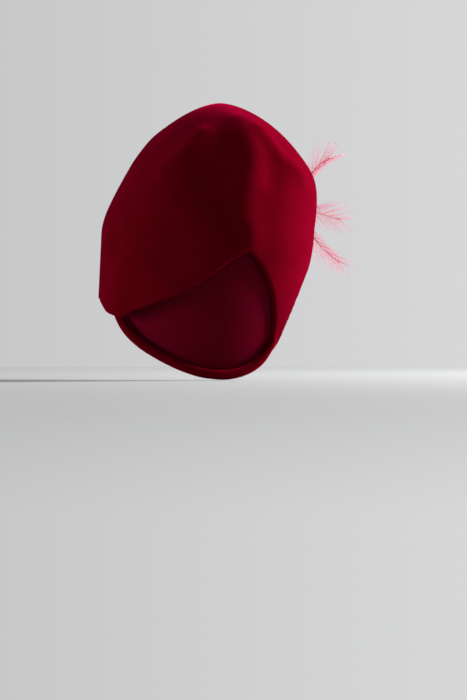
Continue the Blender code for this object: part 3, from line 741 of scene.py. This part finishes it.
def make_floor():
    radius, sides = 1.5, 96
    angles = 2 * math.pi * np.arange(sides) / sides
    points = [(radius * math.cos(a), radius * math.sin(a), cad_box[0][2] - 0.0004) for a in angles]
    floor = new_piece("floor", points, [tuple(range(sides))], floor_finish(radius), outward=False)
    floor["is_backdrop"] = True


# ---- the felt ----------------------------------------------------------------------------------
def map_line(points, per_span, closed=False):
    turns, heights = np.array(points, float).T
    return curve_through(on_map(turns, drop_at(heights)), per_span, closed)


def felt_edge_path(points, depth, per_span=8):
    turns, drops = off_map(map_line(points, per_span))
    return crown(turns, drops, depth)


def make_felt(finish):
    """Crown, flap, band and rolled rim: one continuous felt, melted from its solids."""
    outline = map_line(FLAP_EDGE + FAR_EDGE + FRONT_EDGE + BAND_END + WRAP_EDGE
                       + [(FLAP_EDGE[0][0] - 360, FLAP_EDGE[0][1])], 6)[:-1]
    (turns, drops), triangles = fill([outline], 0.003)
    parts = [shell(crown(turns, drops, 0.0), crown(turns, drops, FELT), triangles)]
    rim = curve_through(RIM_LINE, 8)
    path = at_radius(rim[:, 0], rim[:, 1], rim[:, 2])
    share = np.linspace(0, 1, len(path))
    radii = RIM_ROLL_RADIUS * (1 - 0.45 * (1 - smooth(share, 0, 0.16)))
    parts.append(tube(path, radii, 16))
    fold = [(turn + FOLD_IN, height) for turn, height in [BAND_END[1]] + WRAP_EDGE]
    wrap = felt_edge_path(fold + [(-305, 0.0345)], FELT * 0.8)
    parts.append(tube(wrap, np.linspace(0.0029, 0.0018, len(wrap)), 14))
    fold = [(turn - FOLD_IN / 2, height) for turn, height in FRONT_EDGE[1:] + [BAND_END[0]]]
    front = felt_edge_path(fold, FELT * 0.55)
    parts.append(tube(front, np.full(len(front), 0.0013), 12))
    points, faces = join(parts)
    felt = melt(new_piece("hat_felt", points, faces), 0.0010, 8)
    felt.data.materials.append(finish)
    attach(felt, "hat")
    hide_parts("crown_felt", "rim_roll")


def make_panel(finish):
    (turns, drops), triangles = fill([map_line(PANEL_EDGE, 6, closed=True)], 0.0028)
    points, faces = shell(panel(turns, drops, 0.0), panel(turns, drops, PANEL_FELT), triangles)
    piece = new_piece("matte_panel", points, faces, finish)
    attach(piece, "hat")
    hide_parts("back_panel")


def sheet_on(name, surface, loops, depth, thickness, spacing, finish, ripple=None):
    """A thin closed sheet over part of a surface; ripple gives its lift at each place."""
    (turns, drops), triangles = fill(loops, spacing)
    deep = depth - (ripple(turns, drops) if ripple else np.zeros(len(turns)))
    points, faces = shell(surface(turns, drops, deep), surface(turns, drops, deep + thickness),
                          triangles)
    piece = new_piece(name, points, faces, finish)
    lay_map(piece, turns, drops)
    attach(piece, "hat")
    return piece


def patch_outline(turn, height, half_across, half_high, squareness, count=48):
    """An oval (squareness 2) or a rounded rectangle (greater) on the crown's map."""
    angles = 2 * math.pi * np.arange(count) / count
    cos, sin = np.cos(angles), np.sin(angles)
    across = half_across * np.sign(cos) * np.abs(cos) ** (2 / squareness)
    high = half_high * np.sign(sin) * np.abs(sin) ** (2 / squareness)
    radius = float(level(drop_at(height))[0])
    return on_map(turn + np.degrees(across / radius), drop_at(height + high))


# ---- the trimmings inside ----------------------------------------------------------------------
def opening_line():
    along_rim = [(turn - 360, height + RIM_ROLL_RADIUS) for turn, height, _ in RIM_LINE[2:11]]
    return [(-46, -0.0040)] + FLAP_EDGE[-1:] + FAR_EDGE + FRONT_EDGE[:-1] + along_rim


def set_in(line, distance):
    """Moves a closed (turn, height) line into the hat by a distance along the surface."""
    flat = np.array([(math.radians(turn) * HALF_WIDTH, height) for turn, height in line])
    once = np.array([2 * math.pi * HALF_WIDTH, 0])
    before = np.concatenate([flat[-1:] + once, flat[:-1]])
    after = np.concatenate([flat[1:], flat[:1] - once])
    along = (after - before) / np.linalg.norm(after - before, axis=1, keepdims=True)
    moved = flat + np.stack([along[:, 1], -along[:, 0]], -1) * distance
    return [(math.degrees(x / HALF_WIDTH), z) for x, z in moved]


def loop_of(points, per_span=6):
    return map_line(points, per_span, closed=True)


def make_buckram(finish):
    outline = loop_of(PANEL_EDGE) * 0.995
    piece = sheet_on("stiff_backing", panel, [outline], PANEL_FELT + GAP, BUCKRAM, 0.004, finish)
    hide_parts("panel_buckram")


def make_head_ribbon(ribbon, thread):
    edge = opening_line()
    loops = [loop_of(set_in(edge, RIBBON_SET_IN)), loop_of(set_in(edge, RIBBON_SET_IN + RIBBON_WIDTH))]
    depth = LINING_EASE * 2 + LINING

    def ripple(turns, drops):
        return -0.00012 * (1 + np.sin(np.radians(turns) * 23 + 2.0 * np.sin(np.radians(turns) * 5)))

    piece = sheet_on("grosgrain_band", inside, loops, depth, RIBBON, 0.0030, ribbon, ripple)
    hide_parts("head_ribbon")
    line = spaced(loop_of(set_in(edge, RIBBON_SET_IN + RIBBON_SEAM_IN)), 0.0029)
    turns, drops = off_map(line)
    stitches = []
    for i in range(0, len(turns) - 1, 2):
        turn = turns[i] + np.array([0.0, 0.12, 0.5, 0.88, 1.0]) * wrapped(turns[i + 1] - turns[i])
        drop = np.linspace(drops[i], drops[i + 1], 5)
        lift = np.array([-0.0004, 0.0002, 0.0004, 0.0002, -0.0004])
        stitches.append(tube(inside(turn, drop, depth + RIBBON + lift), 0.00026, 6))
    seam = new_piece("ribbon_seam", *join(stitches), thread)
    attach(seam, "hat")
    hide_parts("ribbon_stitching")


def strip(path, half_widths, half_thickness, place):
    """A ribbon strip along (along, height) steps; place maps (along, across, height) to space."""
    path = np.asarray(path, float)
    along = np.gradient(path, axis=0)
    along /= np.linalg.norm(along, axis=1, keepdims=True)
    side = np.stack([-along[:, 1], along[:, 0]], -1) * half_thickness
    rows = []
    for face in (1, -1):
        for edge in np.linspace(-1, 1, 5) * face:
            spot = path + side * face
            rows.append(place(spot[:, 0], edge * half_widths, spot[:, 1]))
    around = len(rows)
    points = np.stack(rows, 1).reshape(-1, 3)
    faces = []
    for i in range(len(path) - 1):
        for k in range(around):
            m = (k + 1) % around
            faces.append((i * around + k, i * around + m, (i + 1) * around + m, (i + 1) * around + k))
    last = (len(path) - 1) * around
    faces += [tuple(range(around))[::-1], tuple(last + k for k in range(around))]
    return points, faces


def make_bow(ribbon):
    """Flat tailored bow at the back: two loops, two tails and a wrapped middle."""
    turn, height = 4, -0.0262
    base = 2 * LINING_EASE + LINING + RIBBON + GAP
    radius = float(panel_radius(height))

    def place(along, across, lift):
        spot_turn = turn + np.degrees(along / radius)
        return inside(spot_turn, drop_at(height + across), base + lift)

    def upright(along, across, lift):
        return place(across, along, lift)

    def slanted(along, across, lift):
        return place(along, across - 0.35 * np.abs(along), lift)

    loop = curve_through([(0.0, 0.0008), (0.006, 0.0005), (0.0112, 0.0006), (0.0128, 0.0013),
                          (0.0110, 0.0021), (0.006, 0.0019), (0.0, 0.0014)], 5)
    share = np.abs(loop[:, 0]) / 0.0128
    widths = 0.0020 + 0.0020 * smooth(share, 0.0, 0.75)
    tail = curve_through([(0.0, 0.0004), (0.004, 0.0003), (0.0115, 0.0003)], 5)
    tail_widths = np.linspace(0.0018, 0.0026, len(tail))
    wrap = curve_through([(-0.0026, 0.0002), (-0.0027, 0.0014), (-0.0012, 0.0024),
                          (0.0012, 0.0024), (0.0027, 0.0014), (0.0026, 0.0002)], 5)
    mirrored = loop * np.array([-1, 1])
    parts = [strip(loop, widths, 0.00018, place), strip(mirrored, widths, 0.00018, place),
             strip(tail, tail_widths, 0.00015, slanted),
             strip(tail * np.array([-1, 1]), tail_widths, 0.00015, slanted),
             strip(wrap, np.full(len(wrap), 0.0016), 0.0002, upright)]
    piece = new_piece("tailored_bow", *join(parts), ribbon)
    piece.data.uv_layers.new(name="Cloth")
    spots = np.array([corner for vertex in piece.data.loops
                      for corner in piece.data.vertices[vertex.vertex_index].co.xz])
    piece.data.uv_layers["Cloth"].data.foreach_set("uv", spots)
    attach(piece, "hat")
    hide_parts("ribbon_bow")


def make_lining(satin, label):
    def gathers(turns, drops):
        wobble = np.sin(np.radians(turns) * 7)
        fold = 0.5 + 0.5 * np.sin(np.radians(turns) * 64 + 2.2 * wobble)
        near_tip = 1 - smooth(drops, LINING_TIP_DROP, 0.95)
        return -(0.0003 + 0.0011 * near_tip) * fold

    low = [(turn, LINING_FRONT_Z if abs(turn) > 110 else LINING_BACK_Z)
           for turn in range(180, -180, -15)]
    around = np.arange(180, -180, -5.0)
    seam = on_map(around, np.full(len(around), LINING_TIP_DROP + LINING_SEAM))
    side = sheet_on("gathered_lining", inside, [loop_of(low), seam], LINING_EASE, LINING,
                    0.0022, satin, gathers)
    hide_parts("lining_side")
    cut = on_map(around, np.full(len(around), LINING_TIP_DROP))

    def puckers(turns, drops):
        at_seam = smooth(drops, LINING_TIP_DROP * 0.7, LINING_TIP_DROP)
        return -0.0005 * at_seam * (0.5 + 0.5 * np.sin(np.radians(turns) * 64))

    tip = sheet_on("lining_crown", inside, [cut], LINING_EASE, LINING, 0.0024, satin, puckers)
    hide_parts("lining_tip")
    outline = patch_outline(-8, 0.0950, 0.0170, 0.0065, 12)
    on_lining = LINING_EASE + LINING + 2 * GAP + 0.0008
    patch = sheet_on("woven_label", inside, [outline], on_lining, 0.0005, 0.0012, label)
    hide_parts("maker_label")
    outline = patch_outline(-92, 0.0375, 0.0050, 0.0070, 12)
    on_ribbon = 2 * LINING_EASE + LINING + RIBBON + GAP
    tab = sheet_on("size_ticket", inside, [outline], on_ribbon, 0.0004, 0.0010, label)
    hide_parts("size_tab")


# ---- seams and tacks ---------------------------------------------------------------------------
def make_panel_seam(thread):
    points = 73
    turns = np.linspace(-28, 60, points)
    odd = np.arange(points) % 2
    path = panel(turns, drop_at(0.0440 + 0.0016 * odd), -(0.0018 - 0.0010 * odd))
    seam = new_piece("panel_seam", *tube(curve_through(path, 4), 0.00028, 6), thread)
    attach(seam, "hat")
    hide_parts("panel_stitching")


def wound(start, end, turns, radius):
    """Thread wound in a few crossing strands between two places."""
    start, end = np.array(start, float), np.array(end, float)
    axis = end - start
    across = np.cross(axis, (0, 0, 1))
    across /= np.linalg.norm(across)
    up = np.cross(across, axis) / np.linalg.norm(axis)
    strands = []
    for strand in range(5):
        share = np.linspace(0, 1, 14)
        angle = 2 * math.pi * (strand / 5 + turns * share)
        waist = radius * (0.45 + 0.55 * (2 * share - 1) ** 2)
        path = (start + axis * share[:, None] + across * (np.cos(angle) * waist)[:, None]
                + up * (np.sin(angle) * waist)[:, None])
        strands.append(tube(path, 0.00022, 6, side_hint=np.broadcast_to((0.1, 0.2, 1.0), path.shape)))
    return join(strands)


def make_tacks(thread):
    places = {"tip_tack": (49, 0.0370, float(panel_radius(0.0370)) + GAP, 0.0008),
              "corner_tack": (-40, 0.0060, 0.0734 + RIM_ROLL_RADIUS, 0.0)}
    for name, (turn, height, inner, short_by) in places.items():
        turn, height = np.array([turn]), np.array([height])
        start = at_radius(turn, height, np.array([inner]))[0]
        end = crown(turn, drop_at(height), FELT + short_by)[0]
        piece = new_piece(name + "_threads", *wound(start, end, 0.4, 0.0010), thread)
        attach(piece, "hat")
        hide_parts(name)


# ---- the feathers ------------------------------------------------------------------------------
# Root, bend and tip of each quill: turn, height and lift from the crown.
PLUMES = {
    "upper": ((151.5, 0.0765, 0.0033), (152, 0.0960, 0.0110), (140, 0.0980, 0.0250)),
    "middle": ((154, 0.0730, 0.0033), (161, 0.0725, 0.0130), (143, 0.0650, 0.0300)),
    "lower": ((151.5, 0.0695, 0.0033), (152, 0.0480, 0.0110), (143, 0.0330, 0.0310)),
}
BARBS_A_SIDE = 38
BARB_REACH = 0.0190
BARB_STEPS = 8


def feather_path(name, steps):
    root, bend, tip = (crown(np.array([t]), drop_at(np.array([h])), -lift)[0]
                       for t, h, lift in PLUMES[name])
    t = np.linspace(0, 1, steps)[:, None]
    return root * (1 - t) ** 2 + bend * 2 * t * (1 - t) + tip * t ** 2


def make_feathers(quill, plume):
    random = np.random.default_rng(11)
    for name in PLUMES:
        path = feather_path(name, 25)
        hint = np.broadcast_to((0.3, 0.2, 1.0), path.shape)
        radii = 0.0009 - 0.00075 * smooth(np.linspace(0, 1, len(path)), 0.15, 0.75)
        shaft = new_piece(name + "_shaft", *tube(path, radii, 10, side_hint=hint), quill)
        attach(shaft, "feather_spray")
        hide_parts("quill_" + name)
        along = np.gradient(path, axis=0)
        along /= np.linalg.norm(along, axis=1, keepdims=True)
        away = path - np.concatenate([np.broadcast_to(AXIS_XY, (len(path), 2)), path[:, 2:]], 1)
        away /= np.linalg.norm(away, axis=1, keepdims=True)
        barbs = []
        for side in (-1, 1):
            for i in range(BARBS_A_SIDE):
                share = 0.26 + 0.74 * (i + random.uniform(-0.3, 0.3)) / BARBS_A_SIDE
                step = min(len(path) - 1.001, max(0, share * (len(path) - 1)))
                low, part = int(step), step - int(step)
                base = path[low] * (1 - part) + path[low + 1] * part
                ahead, out = along[low], away[low]
                wide = np.cross(ahead, out)
                wide /= np.linalg.norm(wide)
                lean = math.radians(62 - 40 * share + random.uniform(-9, 9))
                reach = BARB_REACH * (0.60 + 0.5 * math.sin(math.pi * min(1, share * 0.9)))
                reach *= random.uniform(0.75, 1.15)
                bow = np.linspace(0, 1, BARB_STEPS)[:, None]
                straight = ahead * math.cos(lean) + wide * side * math.sin(lean)
                curl = ahead * 0.35 + out * random.uniform(-0.35, 0.15)
                barb = base + (straight * bow + curl * bow ** 2 * 0.6) * reach
                thin = np.linspace(0.00012, 0.00003, BARB_STEPS)
                steady = np.broadcast_to(out + 0.1, barb.shape)
                barbs.append(tube(barb, thin, 4, side_hint=steady))
        vane = new_piece(name + "_barbs", *join(barbs), plume)
        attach(vane, "feather_spray")
        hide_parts("plume_" + name)


def make_feather_trim(velour):
    turn, height = 151, 0.0730
    spots = {"feather_pad": ((0.0130, 0.0100), 0.0020, 0.0016, (0.022, 0.0215)),
             "feather_knot": ((0.0052, 0.0048), 0.0076, 0.0016, (0.0105, 0.0115))}
    for name, (half, lift, thickness, flat) in spots.items():
        outline = patch_outline(turn, height, *half, 2)

        def crease(turns, drops):
            if name == "feather_pad":
                return np.zeros(len(turns))
            across = np.radians(turns - turn) * 0.07
            return 0.0003 * np.sin(across / 0.0011) - 14 * across ** 2

        piece = sheet_on(name + "_felt", crown, [outline], -lift, thickness, 0.0012, velour, crease)
        melt(piece, 0.0004, 5)
        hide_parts(name)


# ---- the comb ----------------------------------------------------------------------------------
def make_comb_loops(thread):
    radius, height = 0.0640, 0.0700
    middle = at_radius(np.array([180]), np.array([height]), np.array([radius]))[0]
    for name, tooth in (("comb_loop_left", 2), ("comb_loop_right", 8)):
        across = 0.022 - 0.004 * (tooth + 0.75)
        angles = np.linspace(0, 2 * math.pi, 49)
        strands = []
        for strand in (0, math.pi):
            twist = angles * 9 + strand
            deep = 0.0020 - 0.0031 + np.cos(angles) * (0.0031 + 0.00012 * np.cos(twist))
            high = np.sin(angles) * (0.0022 + 0.00012 * np.cos(twist))
            ring = middle + np.stack([across + 0.00012 * np.sin(twist), deep, high], -1)
            hint = np.broadcast_to((1.0, 0.0, 0.0), ring.shape)
            strands.append(tube(ring, 0.00015, 6, side_hint=hint))
        piece = new_piece(name + "_threads", *join(strands), thread)
        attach(piece, "hat")
        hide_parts(name)


def recoat(name, finish):
    """Gives a CAD node that stays its own material."""
    node = next(item for item in bpy.data.objects if item.name == name)
    node.data.materials.clear()
    node.data.materials.append(finish)
    return node


def finish_comb(finish):
    edge = recoat("comb", finish).modifiers.new("Edges", "BEVEL")
    edge.width = 0.00035
    edge.segments = 3
    edge.limit_method = "ANGLE"
    edge.angle_limit = math.radians(40)


velour, thread, ribbon = velour_finish(), thread_finish(), grosgrain_finish()
label = woven_finish("label", (0.50, 0.44, 0.33), (0.74, 0.68, 0.56), 0.6, 0.0007)
make_camera()
make_light()
make_floor()
make_felt(velour)
make_panel(panel_finish())
make_buckram(woven_finish("buckram", (0.020, 0.0015, 0.004), (0.085, 0.006, 0.014), 0.9, 0.0014))
make_head_ribbon(ribbon, thread)
make_bow(ribbon)
make_lining(satin_finish(), label)
make_panel_seam(thread)
make_tacks(thread)
make_feathers(quill_finish(), plume_finish())
make_feather_trim(velour)
make_comb_loops(thread)
finish_comb(comb_finish())
recoat("rim_wire", wire_finish())

low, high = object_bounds()
sizes = {"cad": [list(map(float, corner)) for corner in cad_box],
         "visual": [list(map(float, corner)) for corner in (low, high)]}
